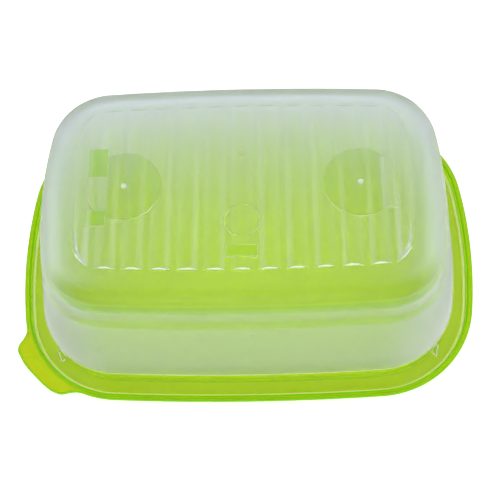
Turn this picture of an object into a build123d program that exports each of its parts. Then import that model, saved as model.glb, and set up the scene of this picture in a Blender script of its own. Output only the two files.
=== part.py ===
from build123d import *
from math import cos, radians, sin, sqrt, tan
import os

os.makedirs("parts", exist_ok=True)

# A fridge storage box that stands upside down: the drafted tub rests mouth down in its lid.
# Lengths are in millimetres and angles in degrees. +X runs along the long side, +Z is up,
# and the origin lies on the ground under the middle of the lid.

# Plan outline of the tub wall where the base round starts. Every other outline is this one
# grown or shrunk by one distance, so all of them share the same arc centres.
outline_length = 160.6
outline_depth = 100.0
short_side_radius = 185.0
long_side_radius = 1032.0
outline_corner_radius = 25.0

# Tub shell
wall_thickness = 1.1
wall_draft = 10.9
wall_height = 44.8
base_round = 13.2
rim_band_height = 10.6
rim_ledge = 0.3

# Tub rim: a flange around the mouth, with a lip on its outer edge
flange_width = 6.6
flange_thickness = 1.1
lip_width = 1.1
lip_height = 1.7
lip_edge_round = 0.3

# Gussets between the rim band and the flange, one at each corner
gusset_thickness = 1.0
gusset_foot_reach = 2.7
gusset_top_reach = 1.4
gusset_root = 0.5
gusset_angle = 43.0

# Ribbed field of the base
rib_count = 13
rib_pitch = 10.3
rib_chord = 8.2
rib_height = 0.8
rib_root = 0.3
field_inset = 1.0
inner_field_inset = 1.2

# Flat islands and label windows, a hair prouder than the ribs
island_rise = 0.9
gate_spacing = 91.4
gate_island_radius = 14.65
gate_dimple_radius = 1.1
gate_dimple_depth = 0.25
window_left = -56.1
window_right = 56.3
upper_window_size = (7.6, 12.6)
upper_window_y = 10.4
lower_window_size = (7.8, 6.6)
lower_window_y = -13.8
right_window_size = (5.4, 22.0)
right_window_y = -0.5
middle_window_size = (12.2, 5.0)
middle_window_y = -28.3
insert_ring_radius = 6.9
insert_ring_y = -15.4
pin_ring_radius = 2.0
pin_ring_y = 13.9
ring_width = 0.35

# Lid
lid_thickness = 1.2
seat_gap = 0.2
plug_clearance = 0.3
plug_height = 5.0
plug_edge_round = 0.8
skirt_clearance = 0.3
skirt_thickness = 0.9
skirt_height = 7.1
brim_width = 1.55
brim_thickness = 1.0
bead_width = 0.8
bead_drop = 0.7
lid_foot_round = 0.4

# Pull tab at the front left corner. Each point is an angle, from the corner's left end round
# to the front, and a reach beyond the brim edge.
tab_edge = (
    (15.0, -0.6),
    (18.4, 1.0),
    (20.8, 2.9),
    (22.8, 5.2),
    (26.0, 6.4),
    (31.5, 6.4),
    (42.0, 5.7),
    (52.0, 5.5),
    (57.6, 4.6),
    (62.6, 1.6),
    (67.0, 0.1),
    (72.0, -0.9),
)
tab_root_angle = 43.0
grip_edge = ((30.2, 9.0), (30.9, 3.6), (34.2, 0.7), (39.1, 0.5), (50.0, 0.6), (56.0, 2.0), (60.0, 9.0))
grip_depth = 0.25
grip_corner_radius = 1.0

# Edges within this distance of a level count as lying on it
level_tolerance = 0.01

# Levels and growths that follow from the sizes above
draft_slope = tan(radians(wall_draft))
mouth_level = lid_thickness + seat_gap
flange_top = mouth_level + flange_thickness
foot_level = flange_top + rim_band_height
round_level = foot_level + wall_height
base_level = round_level + base_round * (1 - sin(radians(wall_draft)))
ceiling_level = base_level - wall_thickness
foot_growth = wall_height * draft_slope
band_growth = foot_growth + rim_ledge
lip_growth = band_growth + flange_width
wall_skin = wall_thickness / cos(radians(wall_draft))
mouth_growth = band_growth - wall_thickness
field_growth = -base_round * cos(radians(wall_draft)) - field_inset
plug_growth = mouth_growth - plug_clearance
skirt_growth = lip_growth + skirt_clearance
brim_growth = skirt_growth + skirt_thickness + brim_width
brim_underside = skirt_height - brim_thickness


def corner_centre():
    """Centre of the corner arc at +X +Y, tangent inside both bowed sides."""
    side = Vector(outline_length / 2 - short_side_radius, 0)
    front = Vector(0, outline_depth / 2 - long_side_radius)
    side_reach = short_side_radius - outline_corner_radius
    front_reach = long_side_radius - outline_corner_radius
    gap = (front - side).length
    along = (side_reach**2 - front_reach**2 + gap**2) / (2 * gap)
    across = sqrt(side_reach**2 - along**2)
    ahead = (front - side).normalized()
    return side + ahead * along + Vector(-ahead.Y, ahead.X) * across


def wall_growth(level):
    """Growth of the drafted wall's outer face at one level."""
    return (round_level - level) * draft_slope


def outline(level, growth):
    """Rounded rectangle with bowed sides at one level, grown outward by one distance."""
    corner = corner_centre()
    side = Vector(outline_length / 2 - short_side_radius, 0)
    front = Vector(0, outline_depth / 2 - long_side_radius)
    side_end = side + (corner - side).normalized() * (short_side_radius + growth)
    front_end = front + (corner - front).normalized() * (long_side_radius + growth)
    middle = (side_end + front_end) * 0.5 - corner
    corner_middle = corner + middle.normalized() * (outline_corner_radius + growth)
    side_middle = outline_length / 2 + growth
    front_middle = outline_depth / 2 + growth
    with BuildSketch(Plane.XY.offset(level)) as profile:
        with BuildLine():
            for end in (1, -1):
                ThreePointArc(
                    (end * side_end.X, -side_end.Y),
                    (end * side_middle, 0),
                    (end * side_end.X, side_end.Y),
                )
                ThreePointArc(
                    (front_end.X, end * front_end.Y),
                    (0, end * front_middle),
                    (-front_end.X, end * front_end.Y),
                )
                for hand in (1, -1):
                    ThreePointArc(
                        (end * side_end.X, hand * side_end.Y),
                        (end * corner_middle.X, hand * corner_middle.Y),
                        (end * front_end.X, hand * front_end.Y),
                    )
        make_face()
    return profile.sketch


def ribs(root_level, inset):
    """Row of shallow rounded ribs with sloped ends, kept inside the field's outline."""
    arc_radius = (rib_chord**2 / 4 + rib_height**2) / (2 * rib_height)
    crest_level = root_level + rib_height
    reach = outline_depth / 2
    with BuildPart() as row:
        with BuildSketch(Plane.XZ.offset(-reach)) as profile:
            with Locations((0, crest_level - arc_radius)):
                with GridLocations(rib_pitch, 0, rib_count, 1):
                    Circle(arc_radius)
            with Locations((0, root_level - rib_root)):
                Rectangle(
                    rib_count * rib_pitch,
                    rib_root + rib_height,
                    align=(Align.CENTER, Align.MIN),
                    mode=Mode.INTERSECT,
                )
        extrude(amount=2 * reach)
        foot_outline = outline(root_level - rib_root, field_growth - inset + rib_root)
        crest_outline = outline(crest_level, field_growth - inset - rib_height)
        loft(sections=[foot_outline, crest_outline], ruled=True, mode=Mode.INTERSECT)
    return row.part


def corner_point(angle, reach):
    """Point around the front left corner, reaching past the brim's outer edge."""
    corner = corner_centre()
    radius = outline_corner_radius + brim_growth + reach
    turn = radians(angle)
    return (-corner.X - radius * cos(turn), -corner.Y - radius * sin(turn))


def brim_outline(level, inset):
    """Outer edge of the lid's brim with the pull tab, drawn inward by one distance."""
    with BuildSketch(Plane.XY.offset(level)) as profile:
        add(outline(0, brim_growth - inset))
        with BuildLine():
            edge = Spline(*[corner_point(angle, reach - inset) for angle, reach in tab_edge])
            root = corner_point(tab_root_angle, -brim_width - inset)
            Polyline(edge @ 1, root, edge @ 0)
        make_face()
    return profile.sketch


def edges_at(piece, level):
    """Edges of a piece that lie flat at one level."""
    return piece.edges().filter_by_position(Axis.Z, level - level_tolerance, level + level_tolerance)


# Hollow inside of the tub, from its mouth to the ceiling under the base
with BuildPart() as hollow:
    hollow_foot = outline(foot_level, foot_growth - wall_skin)
    hollow_top = outline(ceiling_level, wall_growth(ceiling_level) - wall_skin)
    loft(sections=[hollow_foot, hollow_top], ruled=True)
    fillet(hollow.edges().group_by(Axis.Z)[-1], radius=base_round - wall_thickness)
    extrude(outline(mouth_level, mouth_growth), amount=foot_level - mouth_level)
    add(ribs(ceiling_level, inner_field_inset))

# Tub: drafted shell, rim band, flange with its lip, corner gussets and ribbed base
with BuildPart() as tub:
    wall_foot = outline(foot_level, foot_growth)
    wall_top = outline(base_level, wall_growth(base_level))
    loft(sections=[wall_foot, wall_top], ruled=True)
    fillet(tub.edges().group_by(Axis.Z)[-1], radius=base_round)
    extrude(outline(mouth_level, band_growth), amount=foot_level - mouth_level)
    extrude(outline(mouth_level, lip_growth), amount=flange_thickness)
    with BuildSketch(Plane.XY.offset(mouth_level)) as lip_ring:
        add(outline(0, lip_growth))
        add(outline(0, lip_growth - lip_width), mode=Mode.SUBTRACT)
    extrude(amount=flange_thickness + lip_height)
    fillet(edges_at(tub, flange_top + lip_height), radius=lip_edge_round)
    for end in (1, -1):
        for hand in (1, -1):
            corner = corner_centre()
            turn = radians(gusset_angle)
            outward = Vector(end * cos(turn), hand * sin(turn))
            root = Vector(end * corner.X, hand * corner.Y) + outward * (outline_corner_radius + band_growth)
            gusset_plane = Plane(
                origin=root + Vector(0, 0, flange_top),
                x_dir=outward,
                z_dir=outward.cross(Vector(0, 0, 1)),
            )
            with BuildSketch(gusset_plane):
                with BuildLine():
                    Polyline(
                        (-gusset_root, -gusset_root),
                        (gusset_foot_reach, -gusset_root),
                        (gusset_foot_reach, 0),
                        (gusset_top_reach, rim_band_height),
                        (-gusset_root, rim_band_height),
                        close=True,
                    )
                make_face()
            extrude(amount=gusset_thickness / 2, both=True)
    add(ribs(base_level, 0))
    with BuildSketch(Plane.XY.offset(base_level - rib_root)):
        with GridLocations(gate_spacing, 0, 2, 1):
            Circle(gate_island_radius)
        with Locations((window_left, upper_window_y)):
            Rectangle(*upper_window_size)
        with Locations((window_left, lower_window_y)):
            Rectangle(*lower_window_size)
        with Locations((window_right, right_window_y)):
            Rectangle(*right_window_size)
        with Locations((0, middle_window_y)):
            Rectangle(*middle_window_size)
        for ring_y, ring_radius in ((insert_ring_y, insert_ring_radius), (pin_ring_y, pin_ring_radius)):
            with Locations((0, ring_y)):
                Circle(ring_radius)
                Circle(ring_radius - ring_width, mode=Mode.SUBTRACT)
    extrude(amount=rib_root + island_rise)
    with BuildSketch(Plane.XY.offset(base_level + island_rise - gate_dimple_depth)):
        with GridLocations(gate_spacing, 0, 2, 1):
            Circle(gate_dimple_radius)
    extrude(amount=gate_dimple_depth, mode=Mode.SUBTRACT)
    add(hollow.part, mode=Mode.SUBTRACT)

tub.part.label = "tub"
export_step(tub.part, "parts/tub.step")

# Lid: foot ring, raised panel that plugs the tub's mouth, skirt, brim and pull tab
with BuildPart() as lid:
    extrude(brim_outline(brim_underside - bead_drop, 0), amount=brim_thickness + bead_drop)
    extrude(brim_outline(brim_underside - bead_drop, bead_width), amount=bead_drop, mode=Mode.SUBTRACT)
    extrude(outline(0, skirt_growth + skirt_thickness), amount=skirt_height)
    extrude(outline(lid_thickness, skirt_growth), amount=skirt_height, mode=Mode.SUBTRACT)
    extrude(outline(0, plug_growth), amount=plug_height)
    fillet(edges_at(lid, plug_height), radius=plug_edge_round)
    extrude(outline(0, plug_growth - lid_thickness), amount=plug_height - lid_thickness, mode=Mode.SUBTRACT)
    fillet(edges_at(lid, 0), radius=lid_foot_round)
    with BuildSketch(Plane.XY.offset(skirt_height - grip_depth)) as grip:
        with BuildLine():
            Polyline(*[corner_point(angle, reach) for angle, reach in grip_edge], close=True)
        make_face()
        fillet(grip.vertices(), radius=grip_corner_radius)
    extrude(amount=grip_depth, mode=Mode.SUBTRACT)

lid.part.label = "lid"
export_step(lid.part, "parts/lid.step")

for piece in (tub, lid):
    size = piece.part.bounding_box().size
    print(piece.part.label, round(size.X, 2), round(size.Y, 2), round(size.Z, 2), round(piece.part.volume, 1))
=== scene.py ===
import logging
import math
from dataclasses import dataclass, field, replace
from enum import Enum
from functools import wraps
from typing import Callable, ClassVar

import bmesh
import bpy
import numpy as np
from mathutils import Matrix, Vector
from mathutils.geometry import delaunay_2d_cdt


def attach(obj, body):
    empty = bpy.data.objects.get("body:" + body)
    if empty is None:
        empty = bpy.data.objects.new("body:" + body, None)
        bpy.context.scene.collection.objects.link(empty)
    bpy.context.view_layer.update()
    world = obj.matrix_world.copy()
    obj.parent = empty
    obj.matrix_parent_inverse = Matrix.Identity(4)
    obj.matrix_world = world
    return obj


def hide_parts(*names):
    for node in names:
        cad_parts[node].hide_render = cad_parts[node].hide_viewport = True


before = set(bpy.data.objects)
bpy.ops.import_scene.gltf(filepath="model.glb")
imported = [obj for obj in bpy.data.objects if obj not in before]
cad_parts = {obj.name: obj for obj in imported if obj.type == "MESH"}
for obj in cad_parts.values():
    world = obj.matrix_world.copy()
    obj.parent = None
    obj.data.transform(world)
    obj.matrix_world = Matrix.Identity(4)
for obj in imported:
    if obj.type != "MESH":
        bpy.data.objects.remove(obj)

# Sizes are in millimetres and angles in degrees. Meshes are scaled to metres when they are made.
# The box stands upside down, as its frame does: +Z points up through the tub's base.

MM = 0.001  # metres in a millimetre
WELD = 2e-7  # metres within which two points of a mesh are one
SLIVER = 1e-8  # metres under which an edge of a mesh is none
PLATE_WELD = 1e-5  # millimetres within which two points of a plate are one
LOG = logging.getLogger("box")

Colour = tuple[float, float, float]
Line = list[tuple[float, float]]


class Side(Enum):
    """Which skin of a moulding a face belongs to, as its material slot number."""

    OUTER = 0
    INNER = 1
    EDGE = 2
    LINE = 3


class GussetSide(Enum):
    """Which part of a gusset a face belongs to, as its material slot number."""

    FACE = 0
    OUTLINE = 1


class Axis(Enum):
    """An axis of the object, as its number in a vector."""

    X = 0
    Y = 1
    Z = 2


@dataclass(frozen=True)
class Limit:
    """A soft limit.

    Args:
        at: The value at its middle.
        blur: How far it reaches to both sides.
    """

    at: float
    blur: float


class Wire:
    """A shader socket on which arithmetic adds Math nodes."""

    def __init__(self, book: "NodeBook", socket: bpy.types.NodeSocket | None) -> None:
        """Wraps an output socket of a node tree."""
        self.book, self.socket = book, socket

    def _math(self, kind: str, *values: "Wire | float") -> "Wire":
        """Adds one Math node."""
        return self.book.node("ShaderNodeMath", {"operation": kind}, dict(enumerate(values)))

    def __add__(self, other: "Wire | float") -> "Wire":
        """Sum."""
        return self._math("ADD", self, other)

    def __sub__(self, other: "Wire | float") -> "Wire":
        """Difference."""
        return self._math("SUBTRACT", self, other)

    def __mul__(self, other: "Wire | float") -> "Wire":
        """Product."""
        return self._math("MULTIPLY", self, other)

    def __rsub__(self, other: float) -> "Wire":
        """Reflected difference, as in 1 - mask."""
        return self._math("SUBTRACT", other, self)

    __radd__ = __add__
    __rmul__ = __mul__

    def __neg__(self) -> "Wire":
        """Negative."""
        return self._math("SUBTRACT", 0.0, self)

    def __abs__(self) -> "Wire":
        """Absolute value."""
        return self._math("ABSOLUTE", self)

    def rise(self, low: float, high: float) -> "Wire":
        """A soft step between two values.

        Args:
            low: Value up to which the result is 0.
            high: Value from which the result is 1.

        Returns:
            The step.
        """
        return self.book.node(
            "ShaderNodeMapRange",
            {"interpolation_type": "SMOOTHSTEP", "clamp": True},
            {"Value": self, "From Min": low, "From Max": high},
        )

    def above(self, limit: Limit) -> "Wire":
        """1 where the value is over a limit."""
        return self.rise(limit.at - limit.blur, limit.at + limit.blur)

    def nearest_whole(self) -> "Wire":
        """The nearest whole number."""
        return self._math("ROUND", self)

    def most(self, other: "Wire | float") -> "Wire":
        """The larger of two values."""
        return self._math("MAXIMUM", self, other)

    def root_sum(self, other: "Wire") -> "Wire":
        """Length of the two values as the sides of a right angle."""
        return self._math("SQRT", self * self + other * other)


class NodeBook:
    """Adds nodes to one material's or world's tree."""

    def __init__(self, tree: bpy.types.NodeTree) -> None:
        """Empties a node tree to start from.

        Args:
            tree: The tree.
        """
        self.tree = tree
        self.kept: dict[tuple[object, ...], Wire] = {}
        tree.nodes.clear()

    def node(
        self,
        kind: str,
        settings: dict[str, object] | None = None,
        inputs: dict[str | int, object] | None = None,
        output: str | int = 0,
    ) -> Wire:
        """Adds any node.

        Args:
            kind: The node's type.
            settings: Properties to set before its sockets.
            inputs: Values or wires, by socket name or number.
            output: The output to return.

        Returns:
            The chosen output, or an empty wire where the node has none.
        """
        made = self.tree.nodes.new(kind)
        for name, value in (settings or {}).items():
            setattr(made, name, value)
        for name, value in (inputs or {}).items():
            socket = made.inputs[name]
            if isinstance(value, Wire):
                self.tree.links.new(value.socket, socket)
            else:
                socket.default_value = value
        return Wire(self, made.outputs[output] if made.outputs else None)

    def mixed(self, share: Wire, low: Wire | Colour, high: Wire | Colour) -> Wire:
        """A colour between two colours.

        Args:
            share: 0 for the first colour and 1 for the second.
            low: The first colour, plain or as a wire.
            high: The second colour, plain or as a wire.

        Returns:
            The mixed colour.
        """
        first, second = (end if isinstance(end, Wire) else (*end, 1.0) for end in (low, high))
        inputs = {"Factor": share, "A": first, "B": second}
        return self.node("ShaderNodeMix", {"data_type": "RGBA"}, inputs, "Result")

    def bump(self, height: Wire, strength: float, depth: float) -> Wire:
        """A surface normal from a height, whose depth is in millimetres."""
        inputs = {"Strength": strength, "Distance": depth * MM, "Height": height}
        return self.node("ShaderNodeBump", inputs=inputs)

    def backdrop_seen(self) -> Wire:
        """Finds the rays that show the backdrop.

        Returns:
            1 for rays that come straight, mirrored or through the plastic.
        """
        paths = self.node("ShaderNodeLightPath").socket.node
        names = ("Is Camera Ray", "Is Glossy Ray", "Is Transmission Ray")
        straight, mirrored, through = (Wire(self, paths.outputs[name]) for name in names)
        return straight.most(mirrored).most(through)


@dataclass(frozen=True)
class Place:
    """The point on the object that is shaded, as wires.

    Args:
        book: The tree that the wires belong to.
        whole: The point, in metres.
        x: Its place along the long side, in millimetres.
        y: Its place along the short side, in millimetres.
        z: Its height, in millimetres.
    """

    book: NodeBook
    whole: Wire
    x: Wire
    y: Wire
    z: Wire

    @classmethod
    def on_object(cls, book: NodeBook) -> "Place":
        """Adds the nodes that say where the point is.

        Args:
            book: The tree to add them to.

        Returns:
            The point.
        """
        whole = book.node("ShaderNodeTexCoord", output="Object")
        split = book.node("ShaderNodeSeparateXYZ", inputs={0: whole}).socket.node
        return cls(book, whole, *(Wire(book, split.outputs[axis.value]) * (1 / MM) for axis in Axis))

    def grain(self, size: float, detail: float = 3.0) -> Wire:
        """Noise with features of one size, in millimetres."""
        inputs = {"Vector": self.whole, "Scale": 1 / (size * MM), "Detail": detail}
        return self.book.node("ShaderNodeTexNoise", inputs=inputs)


def shared(mask: Callable[..., Wire]) -> Callable[..., Wire]:
    """Makes a mask's nodes once for all the sockets that use it.

    Args:
        mask: A method that takes a place, and maybe details, and returns a mask.

    Returns:
        The method, which gives the same wire each time it is asked for the same details.
    """

    @wraps(mask)
    def kept(finish: "Plastic", place: Place, *details: object) -> Wire:
        """Looks the mask up in its tree, and makes it if it isn't there.

        Args:
            finish: The finish whose method it is.
            place: The point on the object.
            details: The method's other arguments.

        Returns:
            The mask.
        """
        key = (mask.__name__, *details)
        if key not in place.book.kept:
            place.book.kept[key] = mask(finish, place, *details)
        return place.book.kept[key]

    return kept


@dataclass(frozen=True)
class Plan:
    """Plan outline shared by every level: bowed sides joined by round corners.

    Args:
        length: Distance between the middles of the short sides.
        depth: Distance between the middles of the long sides.
        short_side_radius: Radius of the short sides' bow.
        long_side_radius: Radius of the long sides' bow.
        corner_radius: Radius of the corners.
        short_steps: Points along each short side.
        long_steps: Points along each long side.
        corner_steps: Points round each plain corner.
        tab_corner_steps: Points round the corner that has the pull tab.
        far_inside: Growth that stands in for an arc which a place doesn't lie beside.
        halvings: Halvings in the search for a place on a grown outline.
    """

    length: float = 160.6
    depth: float = 100.0
    short_side_radius: float = 185.0
    long_side_radius: float = 1032.0
    corner_radius: float = 25.0
    short_steps: int = 22
    long_steps: int = 40
    corner_steps: int = 34
    tab_corner_steps: int = 110
    far_inside: float = -1000.0
    halvings: int = 50

    @property
    def short_centre(self) -> Vector:
        """Centre of the right side's arc."""
        return Vector((self.length / 2 - self.short_side_radius, 0.0))

    @property
    def long_centre(self) -> Vector:
        """Centre of the back's arc."""
        return Vector((0.0, self.depth / 2 - self.long_side_radius))

    @property
    def corner_centre(self) -> Vector:
        """Finds the centre of the corner arc at +X +Y, which touches both sides from inside.

        Returns:
            The centre.
        """
        short_reach = self.short_side_radius - self.corner_radius
        long_reach = self.long_side_radius - self.corner_radius
        between = self.long_centre - self.short_centre
        gap = between.length
        along = (short_reach**2 - long_reach**2 + gap**2) / (2 * gap)
        across = math.sqrt(short_reach**2 - along**2)
        ahead = between.normalized()
        return self.short_centre + ahead * along + Vector((-ahead.y, ahead.x)) * across

    def turns(self) -> tuple[float, float]:
        """Finds where the corner arc at +X +Y starts and ends.

        Returns:
            The directions, in radians, in which it meets the right side's arc and the back's.
        """
        from_short = self.corner_centre - self.short_centre
        from_long = self.corner_centre - self.long_centre
        return math.atan2(from_short.y, from_short.x), math.atan2(from_long.y, from_long.x)

    def samples(self) -> tuple[np.ndarray, np.ndarray, np.ndarray]:
        """Points of the outline, anticlockwise.

        Returns:
            Points, outward normals and directions of the normals, one row each.
        """
        low, high = self.turns()
        corner, short, long = self.corner_centre, self.short_centre, self.long_centre
        half, full = math.pi, 2 * math.pi
        arcs = (
            (short.x, short.y, self.short_side_radius, -low, low, self.short_steps),
            (corner.x, corner.y, self.corner_radius, low, high, self.corner_steps),
            (long.x, long.y, self.long_side_radius, high, half - high, self.long_steps),
            (-corner.x, corner.y, self.corner_radius, half - high, half - low, self.corner_steps),
            (-short.x, short.y, self.short_side_radius, half - low, half + low, self.short_steps),
            (-corner.x, -corner.y, self.corner_radius, half + low, half + high, self.tab_corner_steps),
            (long.x, -long.y, self.long_side_radius, half + high, full - high, self.long_steps),
            (corner.x, -corner.y, self.corner_radius, full - high, full - low, self.corner_steps),
        )
        points, directions = [], []
        for x, y, radius, start, end, steps in arcs:
            for turn in np.linspace(start, end, steps, endpoint=False):
                points.append((x + radius * math.cos(turn), y + radius * math.sin(turn)))
                directions.append(turn)
        turn = np.array(directions)
        return np.array(points), np.stack([np.cos(turn), np.sin(turn)], axis=1), turn

    def growth_at(self, x: np.ndarray | float, y: np.ndarray | float) -> np.ndarray:
        """How far outside the base outline each point lies, negative inside.

        Args:
            x: Positions along the long side.
            y: Positions along the short side.

        Returns:
            The growth of the outline that passes through each point.
        """
        low, high = self.turns()
        x, y = np.abs(np.asarray(x, float)), np.abs(np.asarray(y, float))
        short, long, corner = self.short_centre, self.long_centre, self.corner_centre
        from_short = np.hypot(x - short.x, y - short.y) - self.short_side_radius
        from_long = np.hypot(x - long.x, y - long.y) - self.long_side_radius
        from_corner = np.hypot(x - corner.x, y - corner.y) - self.corner_radius
        by_short = np.arctan2(y - short.y, x - short.x) <= low
        by_long = np.arctan2(y - long.y, x - long.x) >= high
        bowed = np.maximum(
            np.where(by_short, from_short, self.far_inside),
            np.where(by_long, from_long, self.far_inside),
        )
        return np.where(by_short | by_long, bowed, from_corner)

    def reach_y(self, x: float, growth: float) -> float:
        """Searches for the half-depth of a grown outline.

        Args:
            x: The place along the long side.
            growth: The outline's growth.

        Returns:
            The outline's distance from the long middle line at that place.
        """
        low, high = 0.0, self.depth
        for _ in range(self.halvings):
            middle = (low + high) / 2
            if float(self.growth_at(x, middle)) < growth:
                low = middle
            else:
                high = middle
        return (low + high) / 2


@dataclass(frozen=True)
class Knee:
    """A corner of a wall's section, which may be rounded.

    Args:
        growth: Distance outside the base outline.
        level: Height above the ground.
        radius: Radius of the round at this corner.
        skin: The skin that starts at this corner.
        pull: Share of the pull tab's reach that this corner follows.
        follow: Share of the grip recess's outline that this corner follows.
        sink: Share of the grip recess's depth that this corner follows.
    """

    growth: float
    level: float
    radius: float = 0.0
    skin: Side = Side.OUTER
    pull: float = 0.0
    follow: float = 0.0
    sink: float = 0.0


def rounded(knees: list[Knee], step: float, straight: float = 1e-4) -> list[Knee]:
    """Replaces each corner that has a radius by points on its round.

    Args:
        knees: The section's corners, in order.
        step: Largest turn between two points of a round.
        straight: Turn, in radians, under which a corner is left as it is.

    Returns:
        The stations of the section, each without a radius.
    """
    stations = [knees[0]]
    for before, knee, after in zip(knees, knees[1:], knees[2:]):
        here = Vector((knee.growth, knee.level))
        back = (Vector((before.growth, before.level)) - here).normalized()
        ahead = (Vector((after.growth, after.level)) - here).normalized()
        opening = back.angle(ahead)
        if knee.radius <= 0 or opening > math.pi - straight:
            stations.append(knee)
            continue
        reach = knee.radius / math.tan(opening / 2)
        centre = here + (back + ahead).normalized() * (knee.radius / math.sin(opening / 2))
        first, last = here + back * reach - centre, here + ahead * reach - centre
        turn = first.angle_signed(last)
        count = max(2, math.ceil(abs(math.degrees(turn)) / step))
        for number in range(count + 1):
            spot = centre + Matrix.Rotation(-turn * number / count, 2) @ first
            stations.append(replace(knee, growth=spot.x, level=spot.y, radius=0.0))
    stations.append(knees[-1])
    return stations


def smooth_curve(xs: np.ndarray, ys: np.ndarray, at: np.ndarray) -> np.ndarray:
    """Cubic curve through points, with no overshoot between them.

    Args:
        xs: Rising positions of the points.
        ys: Values at the points.
        at: Positions to read.

    Returns:
        The curve's value at each position.
    """
    steps = np.diff(xs)
    slopes = np.diff(ys) / steps
    tangents = np.zeros(len(xs))
    for i in range(1, len(xs) - 1):
        if slopes[i - 1] * slopes[i] > 0:
            tangents[i] = 2 / (1 / slopes[i - 1] + 1 / slopes[i])
    i = np.clip(np.searchsorted(xs, at) - 1, 0, len(xs) - 2)
    t = (at - xs[i]) / steps[i]
    return (
        (2 * t**3 - 3 * t**2 + 1) * ys[i]
        + (t**3 - 2 * t**2 + t) * steps[i] * tangents[i]
        + (-2 * t**3 + 3 * t**2) * ys[i + 1]
        + (t**3 - t**2) * steps[i] * tangents[i + 1]
    )


@dataclass(frozen=True)
class PullTab:
    """Tab at the front left corner, with a shallow grip recess in its top.

    Args:
        edge: The tab's outer edge, as directions counted from the left side and reaches beyond the brim.
        grip: The recess's inner edge, in the same way.
        grip_margin: Width of the rim that the recess leaves.
        grip_step: Width of the recess's sloped side.
        grip_depth: Depth of the recess.
    """

    edge: tuple[tuple[float, float], ...] = (
        (14.0, 0.0),
        (16.6, 0.25),
        (18.4, 1.1),
        (20.8, 2.9),
        (22.8, 5.2),
        (26.0, 6.4),
        (31.5, 6.4),
        (42.0, 5.7),
        (52.0, 5.5),
        (57.6, 4.6),
        (62.6, 1.6),
        (66.0, 0.3),
        (69.0, 0.0),
    )
    grip: tuple[tuple[float, float], ...] = (
        (29.6, 8.0),
        (30.9, 3.6),
        (34.2, 0.7),
        (39.1, 0.5),
        (50.0, 0.6),
        (56.0, 2.0),
        (60.0, 8.0),
    )
    grip_margin: float = 0.75
    grip_step: float = 0.1
    grip_depth: float = 0.25

    @staticmethod
    def along(line: tuple[tuple[float, float], ...], turns: np.ndarray) -> np.ndarray:
        """Reads one of the tab's lines.

        Args:
            line: Directions, counted from the left side, and their reaches.
            turns: Directions of the outline's normals, in radians and counted from the right side.

        Returns:
            The reach in each direction.
        """
        angles, reaches = np.array(line).T
        at = np.clip(np.degrees(turns - math.pi), angles[0], angles[-1])
        return smooth_curve(angles, reaches, at)

    def reach(self, turns: np.ndarray) -> np.ndarray:
        """Reach of the tab beyond the brim's edge."""
        return self.along(self.edge, turns)

    def grip_shift(self, turns: np.ndarray) -> np.ndarray:
        """Shift of the line on the brim's top that runs along the recess where there is one."""
        return np.minimum(self.along(self.grip, turns) + self.grip_margin, self.reach(turns))

    def grip_sink(self, turns: np.ndarray) -> np.ndarray:
        """Depth of the grip recess."""
        beyond = self.reach(turns) - self.grip_margin - self.along(self.grip, turns)
        return self.grip_depth * np.clip(beyond / self.grip_step, 0.0, 1.0)


@dataclass(frozen=True)
class Disc:
    """A round flat island or, with a hole, a ring.

    Args:
        x: Its middle along the long side.
        y: Its middle along the short side.
        radius: Its radius.
        hole: Radius of the hole, or 0.
    """

    LARGE: ClassVar[float] = 5.0
    LARGE_STEPS: ClassVar[int] = 120
    SMALL_STEPS: ClassVar[int] = 48

    x: float
    y: float
    radius: float
    hole: float = 0.0

    def depth(self, x: np.ndarray, y: np.ndarray) -> np.ndarray:
        """Distance inside the island's edge, negative outside."""
        away = np.hypot(x - self.x, y - self.y)
        return np.minimum(self.radius - away, away - self.hole) if self.hole else self.radius - away

    def rim(self, inset: float) -> list[Line]:
        """Closed lines at one distance inside the edge.

        Args:
            inset: The distance.

        Returns:
            One line, or two where there is a hole.
        """
        radii = [self.radius - inset] + ([self.hole + inset] if self.hole else [])
        steps = self.LARGE_STEPS if self.radius > self.LARGE else self.SMALL_STEPS
        turns = np.linspace(0, 2 * math.pi, steps + 1)
        return [[(self.x + r * math.cos(t), self.y + r * math.sin(t)) for t in turns] for r in radii]

    def mask(self, place: Place, blur: float) -> Wire:
        """1 inside the outer edge."""
        return 1 - (place.x - self.x).root_sum(place.y - self.y).above(Limit(self.radius, blur))


@dataclass(frozen=True)
class Window:
    """A rectangular flat island.

    Args:
        x: Its middle along the long side.
        y: Its middle along the short side.
        width: Its size along the long side.
        height: Its size along the short side.
    """

    x: float
    y: float
    width: float
    height: float

    def depth(self, x: np.ndarray, y: np.ndarray) -> np.ndarray:
        """Distance inside the window's edge, negative outside."""
        return np.minimum(self.width / 2 - np.abs(x - self.x), self.height / 2 - np.abs(y - self.y))

    def rim(self, inset: float) -> list[Line]:
        """A closed line at one distance inside the edge.

        Args:
            inset: The distance.

        Returns:
            The line, alone in its list.
        """
        w, h = self.width / 2 - inset, self.height / 2 - inset
        corners = ((-w, -h), (w, -h), (w, h), (-w, h), (-w, -h))
        return [[(self.x + a, self.y + b) for a, b in corners]]

    def mask(self, place: Place, blur: float) -> Wire:
        """1 inside the edge."""
        across = 1 - abs(place.x - self.x).above(Limit(self.width / 2, blur))
        return across * (1 - abs(place.y - self.y).above(Limit(self.height / 2, blur)))

    def outline(self, place: Place, inset: float, side: Limit) -> Wire:
        """A thin line along the edge.

        Args:
            place: The point on the object.
            inset: Distance of the line inside the edge.
            side: Distance of the line's sides from its middle.

        Returns:
            1 on the line.
        """
        across = abs(place.x - self.x) - self.width / 2
        along = abs(place.y - self.y) - self.height / 2
        return 1 - abs(across.most(along) + inset).above(side)


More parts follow.
